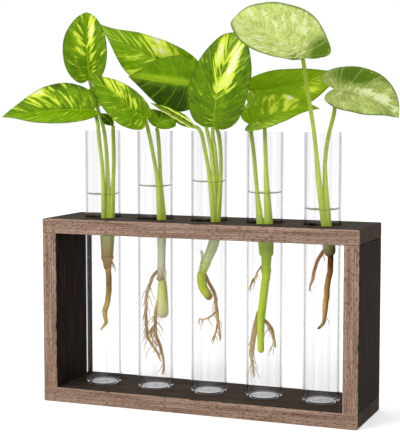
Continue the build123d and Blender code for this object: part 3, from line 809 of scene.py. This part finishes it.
# Each root: its line, diameter and colours from the stem
ROOTS = {
    1: [
        (
            ((0.4, -0.24, 0.53), (0.58, -0.35, 0.587), (0.54, -0.42, 0.626), (0.46, -0.42, 0.68),
             (0.15, -0.35, 0.718), (0.35, -0.28, 0.753), (0.15, -0.28, 0.772),
             (-0.09, -0.35, 0.79)),
            MAIN_ROOT_DIAMETER,
            ("#c9a23e", "#7d5a2a", "#d0a745", "#d6b35a", TIP),
        ),
        (
            ((0.48, -0.24, 0.485), (0.68, -0.14, 0.517), (0.8, -0.07, 0.549)),
            ROOTLET_DIAMETER,
            (BROWN, TIP),
        ),
    ],
    2: [
        (
            ((0.5, -0.28, 0.535), (0.03, -0.35, 0.548), (-0.3, -0.42, 0.613), (-0.51, -0.42, 0.671),
             (-0.5, -0.35, 0.764), (-0.32, -0.28, 0.817), (0.11, -0.21, 0.852), (0.42, -0.18, 0.9)),
            ROOT_DIAMETER,
            ("#a37f4e", "#cdb68c", "#b08e60", TIP),
        ),
        (
            ((0.58, -0.32, 0.63), (0.26, -0.55, 0.66), (0.2, -0.52, 0.743), (0.22, -0.44, 0.79),
             (0.47, -0.37, 0.843), (0.72, -0.33, 0.9), (0.62, -0.3, 0.95)),
            ROOT_DIAMETER,
            ("#d6c292", "#c6a874", "#a98352", TIP),
        ),
        (
            ((0.1, -0.5, 0.75), (-0.2, -0.4, 0.79), (-0.46, -0.32, 0.78)),
            ROOTLET_DIAMETER,
            ("#b08e60", "#a98352", TIP),
        ),
    ],
    3: [
        (
            ((-0.3, -0.26, 0.53), (0.15, -0.14, 0.59), (0.54, -0.14, 0.634), (0.57, -0.21, 0.702),
             (0.76, -0.24, 0.751), (0.82, -0.24, 0.8)),
            ROOT_DIAMETER,
            ("#7e4c22", "#b98f50", "#c9ab68", TIP),
        ),
        (
            ((0.56, -0.2, 0.685), (-0.12, -0.42, 0.731), (-0.52, -0.42, 0.712)),
            ROOTLET_DIAMETER,
            (BROWN, TIP),
        ),
        (
            ((0.66, -0.22, 0.728), (0.42, -0.35, 0.787), (0.35, -0.35, 0.816)),
            ROOTLET_DIAMETER,
            (BROWN, TIP),
        ),
    ],
    4: [
        (
            ((-0.02, -0.4, 0.665), (-0.37, -0.28, 0.685), (-0.57, -0.21, 0.736),
             (-0.74, -0.21, 0.818), (-0.72, -0.2, 0.874), (-0.56, -0.2, 0.93)),
            ROOT_DIAMETER,
            ("#8a6236", "#c9ae7c", "#d2b98a", TIP),
        ),
        (
            ((0.02, -0.36, 0.66), (-0.3, -0.32, 0.672), (-0.42, -0.3, 0.73), (-0.6, -0.3, 0.81),
             (-0.68, -0.3, 0.87)),
            ROOT_DIAMETER,
            ("#8a6236", "#bfa272", "#cdb284", TIP),
        ),
        (
            ((0, -0.42, 0.698), (0.36, -0.28, 0.721), (0.6, -0.21, 0.75), (0.8, -0.21, 0.811)),
            ROOT_DIAMETER,
            ("#8a5c30", "#bf9a60", TIP),
        ),
        (
            ((0.15, -0.32, 0.486), (-0.43, -0.21, 0.519), (-0.62, -0.21, 0.573)),
            ROOTLET_DIAMETER,
            (BROWN, TIP),
        ),
    ],
    5: [
        (
            ((0.44, -0.28, 0.422), (0.13, -0.35, 0.435), (-0.12, -0.42, 0.465),
             (-0.38, -0.42, 0.51), (-0.51, -0.35, 0.555), (-0.68, -0.28, 0.589)),
            ROOT_DIAMETER,
            ("#b97a34", "#c2843a", TIP),
        ),
        (
            ((0.55, -0.28, 0.44), (0.64, -0.35, 0.474), (0.58, -0.36, 0.519), (0.35, -0.35, 0.596),
             (0.29, -0.36, 0.662), (0.23, -0.35, 0.713), (-0.11, -0.35, 0.726)),
            MAIN_ROOT_DIAMETER,
            ("#6b3a20", "#c08a3c", "#d6ae52", "#9a5a34"),
        ),
    ],
}
# Rootlets of each cutting: how many grow from each root, and how long they are
HAIRS = {1: (3, 8 * MM), 2: (24, 15 * MM), 3: (6, 11 * MM), 4: (9, 12 * MM), 5: (4, 9 * MM)}


def wavy(line, chance, size):
    """A line that wanders: three sines with chance phases push it sideways.

    The push grows to its full size over the first sixth of the run.
    """
    share = np.linspace(0, 1, len(line))[:, None]
    length = len(line) * RING_SPACING
    turns = np.array(WAVE_TURNS) * length / WAVE_LENGTH
    push = 0
    for side in ((1, 0, 0), (0, 1, 0)):
        phases = chance.uniform(0, 2 * math.pi, 3)
        waves = np.sin(2 * math.pi * turns * share + phases) / WAVE_FALLS
        push = push + size * waves.sum(axis=1, keepdims=True) * np.array(side)
    return line + push * np.minimum(1, 6 * share)


root_skin = living("water_root_skin", mottle=0.28, roughness=0.5, bump_height=0.3 * MM)
for number, roots in ROOTS.items():
    chance = np.random.default_rng(number)
    tube = TUBES[number]
    count, reach = HAIRS[number]
    parts = []
    for shares, diameter, colours in roots:
        line = wavy(bent(in_tube(number, shares)), chance, ROOT_WANDER)
        widths = (*3 * (diameter,), ROOT_TAPER * diameter)
        parts.append(strand(line, widths, colours, ROOT_SIDES))
        for place in chance.uniform(*HAIR_SPAN, count):
            start = line[int(place * len(line))]
            heading = chance.uniform(0, 2 * math.pi)
            length = reach * chance.uniform(*HAIR_REACHES)
            out = HAIR_LEAN * length * np.array([math.cos(heading), math.sin(heading), 0])
            elbow = start + 0.5 * out - (0, 0, HAIR_DROOP * length)
            points = np.array([start, elbow, start + out - (0, 0, length)])
            radial = points[:, :2] - tube.axis[:2]
            away = np.linalg.norm(radial, axis=1, keepdims=True)
            room = np.minimum(1, (tube.bore - GLASS_ROOM) / away)
            points[:, :2] = tube.axis[:2] + radial * room
            hair = wavy(bent(points), chance, HAIR_WANDER)
            widths = (HAIR_DIAMETER, HAIR_TAPER * HAIR_DIAMETER)
            parts.append(strand(hair, widths, (colours[-2], TIP), HAIR_SIDES))
    rings, tints = zip(*parts)
    bunch = skinned(f"cutting_{number}_water_roots", rings, root_skin, tint=tints)
    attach(bunch, f"cutting_{number}")
    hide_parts(f"cutting_{number}_roots")


# Leaves
# Waxy evergreen blades of a variegated climbing vine: green, with lime and cream streaks that run
# forward from the midrib to the margin. The fifth cutting's are paler and matt.
LEAF_THICKNESS = 0.45 * MM
LEAF_LIFT = 0.4 * MM
MARGIN_ROOM = 5 * MM
MIDRIB_GROOVE = 0.4 * MM
MIDRIB_WIDTH = 0.9 * MM
VEIN_SWEEP = 3
VEIN_RELIEF = 0.12 * MM
VEIN_COUNT = 11
VEIN_BOW = 0.12
BULGE_SHARE = 0.05
RIPPLE_SHARE = 0.03
RIPPLE_COUNTS = (3, 5, 8)
RIPPLE_PHASES = 6.3
PAST_TIP = 0.4
ROWS = 129
HALF_COLUMNS = 26
# The skin's pattern: how far it runs along and across a leaf, and then its sizes and limits
ACROSS_VEINS = 0.5
OUT_ALONG_VEINS = 1.5
SEED_STEP = 0.1
SEED_CELLS_PER_METRE = 100
STREAK_WIDTH = 1.2 * MM
STREAK_LENGTH = 17 * MM
FINE_STREAKS = 2.7
FINE_SHARE = 0.35
LIME_LIMITS = (0.8, 0.86)
YELLOW_LIMITS = (0.86, 0.92)
CREAM_LIMITS = (1.02, 1.12)
SOFT_PATCHES_PER_METRE = 110
TONE_SPREAD = 1.3
TONE_SHIFT = -1.15
CELLS_PER_METRE = 480
CELL_LIMITS = (0.54, 0.66)
VEIN_SPACING = 3.4 * MM
VEIN_WIDTHS = (0.3 * MM, 0.1 * MM)
VEIN_SHARE = 0.22
RIB_WIDTHS = (1.1 * MM, 0.4 * MM)
RIB_SHARE = 0.6
RIM_LIMITS = (0.93, 0.99)
SKIN_RELIEF = 0.15 * MM
LIGHT_THROUGH = 0.35
# Half an outline from the stalk's notch round the lobe to the tip: shares of length and half width
HEART = ((0, 0), (-0.085, 0.42), (0.02, 0.82), (0.22, 1), (0.5, 0.84), (0.8, 0.33), (1, 0))
TALL = ((0, 0), (-0.07, 0.42), (0.03, 0.82), (0.24, 1), (0.54, 0.91), (0.84, 0.46), (1, 0))
SHORT_LOBE = ((0, 0), (-0.03, 0.42), (0.05, 0.8), (0.24, 1), (0.5, 0.84), (0.8, 0.33), (1, 0))
SLIM_TIP = ((0, 0), (-0.085, 0.42), (0.02, 0.82), (0.22, 1), (0.5, 0.8), (0.8, 0.22), (1, 0))
HEART_LEFT = ((0, 0), (-0.03, 0.4), (0.05, 0.76), (0.3, 0.95), (0.64, 0.8), (0.92, 0.4), (1, 0))
HEART_RIGHT = ((0, 0), (0, 0.4), (0.11, 0.8), (0.34, 1), (0.66, 0.96), (0.94, 0.48), (1, 0))
BACK = ((0, 0), (-0.05, 0.4), (0.05, 0.76), (0.3, 1), (0.6, 0.82), (0.85, 0.36), (1, 0))
TOP_LEFT = ((0, 0), (0, 0.17), (0.04, 0.48), (0.22, 0.87), (0.56, 1.05), (0.87, 0.58), (1, 0))
TOP_RIGHT = ((0, 0), (-0.16, 0.22), (-0.2, 0.52), (0.2, 0.86), (0.62, 0.74), (0.92, 0.36), (1, 0))
SIDE_LEFT = ((0, 0), (-0.2, 0.22), (-0.22, 0.5), (0.08, 0.74), (0.5, 0.78), (0.85, 0.46), (1, 0))
SIDE_RIGHT = ((0, 0), (-0.08, 0.25), (-0.05, 0.5), (0.15, 0.74), (0.5, 0.66), (0.85, 0.24), (1, 0))
LANCE = ((0, 0), (0.03, 0.35), (0.12, 0.7), (0.3, 1), (0.55, 0.86), (0.82, 0.4), (1, 0))


def through(points, steps):
    """A smooth line through points, evenly stepped: a Catmull-Rom spline.

    Between b and c, with a before and d after, it is half of
    2b + (c - a)t + (2a - 5b + 4c - d)t^2 + (3b - a - 3c + d)t^3.
    """
    points = np.array(points, float)
    mirrored = points[1] * (1, -1)
    past = points[-1] + PAST_TIP * (points[-1] - points[-2])
    points = np.vstack([mirrored, points, past])
    place = np.linspace(0, len(points) - 3, steps)
    first = np.minimum(place.astype(int), len(points) - 4)
    t = (place - first)[:, None]
    a, b, c, d = (points[first + shift] for shift in range(4))
    squared = (2 * a - 5 * b + 4 * c - d) * t ** 2
    cubed = (3 * b - a - 3 * c + d) * t ** 3
    return (2 * b + (c - a) * t + squared + cubed) / 2


def turn_matrix(heading, climb, roll):
    """The turn that rolls a blade about its midrib, lifts its tip and then swings it round."""
    heading, climb, roll = (math.radians(angle) for angle in (heading, climb, roll))
    swing = np.array([
        [math.cos(heading), -math.sin(heading), 0],
        [math.sin(heading), math.cos(heading), 0],
        [0, 0, 1],
    ])
    lift = np.array([
        [math.cos(climb), 0, -math.sin(climb)],
        [0, 1, 0],
        [math.sin(climb), 0, math.cos(climb)],
    ])
    tilt = np.array([
        [1, 0, 0],
        [0, math.cos(roll), -math.sin(roll)],
        [0, math.sin(roll), math.cos(roll)],
    ])
    return swing @ lift @ tilt


def even(amount):
    """A spot so wide that it is much the same all over a leaf."""
    return 0.5, 0, 9, 9, amount


def spotted(spots, along, across):
    """A soft field: the sum over spots (a, c, length, width, amount) of
    amount * exp(-((along - a) / length)^2 - ((across - c) / width)^2).
    """
    field = 0 * (along + across)
    for a, c, length, width, amount in spots:
        away = ((along - a) / length) ** 2 + ((across - c) / width) ** 2
        field = field + amount * np.exp(-away)
    return field


def blade(base, size, turns, folds, halves, arch_share, seed, ripple, pale, fresh_green_and_painted_light):
    """A leaf's points, in rows across from the left margin to the right, and what its finish reads.

    A row follows a vein: from the midrib at m = q^3 length out to the margin at q of the way from
    notch to tip. A point at v of the way out lies at (1 - v) m + v margin(q), bowed back. The sheet
    folds up from the midrib by h and arches along it:
    z = sqrt((R + h)^2 - (x - length / 2)^2) - R + arch.
    """
    length, half_width = size
    right, left = (through(np.array(half) * size, ROWS)[:, None] for half in halves)
    q = np.linspace(0, 1, ROWS)[:, None]
    across = np.linspace(1, -1, 2 * HALF_COLUMNS + 1)[None, :]
    v = np.abs(across)
    margin = np.where(across[..., None] < 0, right, left)
    x = (1 - v) * q ** VEIN_SWEEP * length + v * margin[..., 0]
    x = x - VEIN_BOW * length * v * (1 - v) * np.sin(math.pi * q)
    y = across * margin[..., 1]
    out = np.abs(y)
    fold = np.where(across < 0, folds[0], folds[1])
    u = out / (half_width + MARGIN_ROOM)
    h = np.tan(np.radians(fold)) * out + 4 * BULGE_SHARE * half_width * u * (1 - u)
    arch = arch_share * length
    arch_radius = (length ** 2 / 4 + arch ** 2) / (2 * arch)
    z = np.sqrt((arch_radius + h) ** 2 - (x - length / 2) ** 2) - arch_radius + arch
    z = z - MIDRIB_GROOVE * np.exp(-((out / MIDRIB_WIDTH) ** 2)) * (1 - q)
    z = z + VEIN_RELIEF * np.cos(2 * math.pi * VEIN_COUNT * q) * 4 * v * (1 - v)
    chance = np.random.default_rng(seed)
    waves = 0
    for count in RIPPLE_COUNTS:
        phase = chance.uniform(0, RIPPLE_PHASES)
        waves = waves + np.sin(2 * math.pi * count * q + phase + np.sign(across)) / count
    z = z + ripple * waves * v ** 2 * np.sin(math.pi * q) + LEAF_LIFT
    points = np.stack(np.broadcast_arrays(x, y, z), axis=-1) @ turn_matrix(*turns).T + base
    across_veins, out_along, own = ACROSS_VEINS * length * q, OUT_ALONG_VEINS * y, SEED_STEP * seed
    place = np.stack(np.broadcast_arrays(across_veins, out_along, own), axis=-1)
    pale = spotted(pale, x / length, y / half_width)
    fresh_green_and_painted_light = spotted(fresh_green_and_painted_light, x / length, y / half_width)
    return points, place, np.stack(np.broadcast_arrays(pale, fresh_green_and_painted_light, v), axis=-1)


def waxy_leaf(name, deep, fresh, lime, yellow, cream, mottle, edge, roughness):
    """A waxy leaf skin: streaks along the veins, drawn from noise that is stretched along them.

    The leaf's field vein_place holds metres across the veins, metres out along them and a seed. Its
    field light holds how pale it is, how fresh its green is, which on some leaves also carries
    painted light and shade, and the share of the way to the margin.
    mottle and edge are how much of the deep green flecks and a thin rim take.
    """
    material = blank(name)
    tree = material.node_tree
    own = add(tree, "Attribute", attribute_name="vein_place").outputs["Vector"]
    across_veins, out_along, _ = attribute_parts(tree, "vein_place")
    paler, freshness_and_painted_light, to_margin = attribute_parts(tree, "light")
    here = add(tree, "TexCoord").outputs["Object"]
    wide_scale = np.array([1 / STREAK_WIDTH, 1 / STREAK_LENGTH, SEED_CELLS_PER_METRE])
    wide = noise(tree, own, wide_scale, detail=3, roughness=0.55)
    fine = noise(tree, own, FINE_STREAKS * wide_scale, detail=3, roughness=0.6)
    soft = add(tree, "TexNoise", {"Vector": here, "Scale": SOFT_PATCHES_PER_METRE, "Detail": 3})

    fresh_green_and_painted_light = maths(tree, "MULTIPLY_ADD", fine, TONE_SPREAD, TONE_SHIFT)
    fresh_green_and_painted_light = maths(tree, "ADD", maths(tree, "ADD", soft, fresh_green_and_painted_light), freshness_and_painted_light)
    colour = blend(tree, fresh_green_and_painted_light, deep, fresh)
    # Past 1 the green turns to lime; on some leaves this lift is painted light.
    colour = blend(tree, ramp(tree, fresh_green_and_painted_light, 1, 2), colour, lime)
    beside_vein = maths(tree, "PINGPONG", across_veins, VEIN_SPACING / 2)
    vein = ramp(tree, beside_vein, *VEIN_WIDTHS, 0, VEIN_SHARE)
    colour = blend(tree, vein, colour, lime)

    paleness = maths(tree, "MULTIPLY_ADD", fine, FINE_SHARE, wide)
    paleness = maths(tree, "ADD", paleness, paler)
    for limits, paint in ((LIME_LIMITS, lime), (YELLOW_LIMITS, yellow), (CREAM_LIMITS, cream)):
        colour = blend(tree, ramp(tree, paleness, *limits), colour, paint)
    cell_inputs = {"Vector": here, "Scale": CELLS_PER_METRE, "Detail": 4, "Roughness": 0.65}
    flecks = ramp(tree, add(tree, "TexNoise", cell_inputs), *CELL_LIMITS, 0, mottle)
    colour = blend(tree, flecks, colour, deep)
    rib = ramp(tree, maths(tree, "ABSOLUTE", out_along), *RIB_WIDTHS, 0, RIB_SHARE)
    colour = blend(tree, rib, colour, lime)
    colour = blend(tree, ramp(tree, to_margin, *RIM_LIMITS, 0, edge), colour, deep)

    relief = maths(tree, "SUBTRACT", fine, vein)
    bump = add(tree, "Bump", {"Height": relief, "Distance": SKIN_RELIEF, "Strength": 0.5})
    waxy = add(tree, "BsdfPrincipled", {
        "Base Color": colour,
        "Roughness": roughness,
        "IOR": 1.42,
        "Specular IOR Level": 0.2,
        "Normal": bump,
    })
    glowing = add(tree, "BsdfTranslucent", {"Color": colour})
    blade_skin = add(tree, "MixShader", {0: LIGHT_THROUGH, 1: waxy, 2: glowing})
    add(tree, "OutputMaterial", {"Surface": blade_skin})
    return material


GREENS = ("#375800", "#88b800", "#c0da2e", "#f0fb5c", "#fdf9d8")
PALE_GREENS = ("#6b8c16", "#dde98c", "#e6efa8", "#eff4c2", "#f7f8dc")
vine_leaf = waxy_leaf("waxy_vine_leaf", *GREENS, mottle=0.2, edge=0.35, roughness=0.4)
pale_leaf = waxy_leaf("pale_matt_leaf", *PALE_GREENS, mottle=0.45, edge=0.95, roughness=0.5)
# Each leaf: length and half width in mm, turns, folds, outlines of the right and left halves, arch,
# and where it is pale and where its green is fresh: spots along, across, their spreads and amounts.
# On some leaves the fresh-green spots also carry painted light and shade.
LEAVES = {
    (1, "long"): (
        (100, 20.3), (176, -4, -64), (34, 34), (SHORT_LOBE, HEART), 0.05,
        (even(0.05), (0.53, -0.75, 0.13, 0.2, 0.38), (0.5, -0.35, 0.45, 0.25, 0.12)),
        (even(0.8), (0.25, -1, 0.4, 0.2, -0.6), (0.4, 0.6, 0.5, 0.4, 0.2)),
    ),
    (1, "tall"): (
        (66, 20), (122, 68, -15), (34, 27), (TALL, TALL), 0.11,
        (even(0.04), (0.6, -0.25, 0.32, 0.16, 0.36), (0.5, 0.35, 0.35, 0.25, 0.12)),
        (even(0.65), (0.3, -0.7, 0.3, 0.3, -0.15), (0.6, 0.5, 0.3, 0.3, 0.2)),
    ),
    (1, "curled"): (
        (20, 9.5), (42, 60, 58), (40, 40), (HEART, HEART), 0.15,
        (even(0.14),),
        (even(0.9),),
    ),
    (1, "bud"): (
        (16, 4.5), (-172, 40, -76), (45, 45), (LANCE, LANCE), 0.1,
        (even(-0.2),),
        (even(0.1),),
    ),
    (2, "front"): (
        (69, 16), (176, 36, -81), (34, 31), (HEART, HEART), 0.05,
        (even(0.06), (0.52, -0.82, 0.1, 0.14, 0.4), (0.55, -0.35, 0.35, 0.35, 0.14)),
        (even(0.75), (0.1, -0.3, 0.12, 0.5, -0.2)),
    ),
    (2, "small"): (
        (20, 14), (94, 40, 40), (26, 13), (HEART, HEART), 0.11,
        (even(-0.03),),
        (even(0.65), (0.76, 0.13, 0.3, 0.7, -0.45), (0.15, -0.2, 0.25, 0.6, 0.45)),
    ),
    (3, "heart"): (
        (82, 28), (2, 76, 86), (4, 0), (HEART_RIGHT, HEART_LEFT), 0.13,
        (even(0.01), (0.77, 0.17, 0.24, 0.16, 0.33), (0.78, -0.3, 0.2, 0.2, 0.42),
         (0.56, -0.3, 0.2, 0.15, 0.33), (0.42, 0, 0.12, 0.16, 0.3)),
        (even(0.55), (0.2, -0.7, 0.25, 0.3, -0.25), (0.5, 1, 0.5, 0.2, -0.15)),
    ),
    # One half is darkened as painted shade and the other lightened as painted reflection.
    (3, "folded"): (
        (65, 25), (-175, 8, -92), (0, 0), (HEART, HEART), 0.05,
        (even(-0.1), (0.45, -0.05, 0.5, 0.08, 0.12), (0.15, -0.16, 0.22, 0.12, 0.12)),
        (even(0.5), (0.4, 0.6, 0.8, 0.5, -0.6), (0.4, -0.6, 0.6, 0.5, 0.4),
         (0.4, -0.1, 0.6, 0.12, 1.7)),
    ),
    # Its green is lifted as painted light, since it turns away from the lamp.
    (3, "far"): (
        (106, 23), (177, 26, -115), (0, 33), (HEART, SLIM_TIP), 0.08,
        (even(0.1), (0.36, -0.9, 0.11, 0.17, 0.4), (0.27, -0.5, 0.12, 0.22, 0.34)),
        (even(1.1), (0.33, 0.62, 0.4, 0.3, -0.2)),
    ),
    (3, "narrow"): (
        (49, 5), (173, 26, 90), (11, 11), (LANCE, LANCE), 0.05,
        (even(-0.15), (0.5, 0.55, 9, 0.26, 0.55), (0.5, -0.4, 9, 0.26, 0.55)),
        (even(0.2),),
    ),
    (4, "bright"): (
        (62, 21), (23, 12, 46), (22, 13), (HEART, HEART), 0.1,
        (even(0.08), (0.37, 0.7, 0.22, 0.17, 0.16), (0.64, 0.57, 0.1, 0.14, 0.34),
         (0.55, 0.1, 0.25, 0.3, 0.12)),
        (even(1.3),),
    ),
    # Its green is lifted past fresh towards lime as painted light.
    (4, "back"): (
        (83, 19), (11, 11, 123), (31, 5), (BACK, BACK), 0.05,
        (even(-0.03), (0.75, 0, 0.16, 0.4, 0.22), (0.64, -0.34, 0.12, 0.2, 0.2)),
        (even(1.5),),
    ),
    (5, "top"): (
        (70, 33), (176, 29, -29), (30, 8), (TOP_RIGHT, TOP_LEFT), 0.05,
        (even(0.12), (-0.12, -0.36, 0.1, 0.34, -0.5)),
        (even(0.9), (-0.12, -0.36, 0.1, 0.34, -1.5), (0.02, 0.3, 0.07, 0.4, -0.8)),
    ),
    (5, "side"): (
        (59, 28), (19, -24, 45), (-12, 20), (SIDE_RIGHT, SIDE_LEFT), 0.12,
        (even(0.06), (0.55, 0.12, 0.4, 0.1, 0.25), (0.2, 0.5, 0.22, 0.22, -0.4)),
        (even(0.62), (0.2, 0.5, 0.22, 0.22, -1.2), (0.5, 0.75, 0.4, 0.2, -0.4),
         (0.3, -0.35, 0.4, 0.25, 0.2)),
    ),
}
for seed, ((number, name), values) in enumerate(LEAVES.items(), start=1):
    size, turns, folds, halves, arch_share, pale, fresh_green_and_painted_light = values
    size = np.array(size) * MM
    ripple = RIPPLE_SHARE * size[1]
    shape = (BASES[number, name], size, turns, folds, halves, arch_share, seed, ripple)
    points, place, light = blade(*shape, pale, fresh_green_and_painted_light)
    finish = pale_leaf if number == 5 else vine_leaf
    fields = {"vein_place": [place], "light": [light]}
    leaf = skinned(f"cutting_{number}_{name}_blade", [points], finish, wrap=False, **fields)
    wall = leaf.modifiers.new("thickness", "SOLIDIFY")
    wall.thickness = LEAF_THICKNESS
    wall.offset = 0
    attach(leaf, f"cutting_{number}")
    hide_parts(f"cutting_{number}_{name}_leaf")
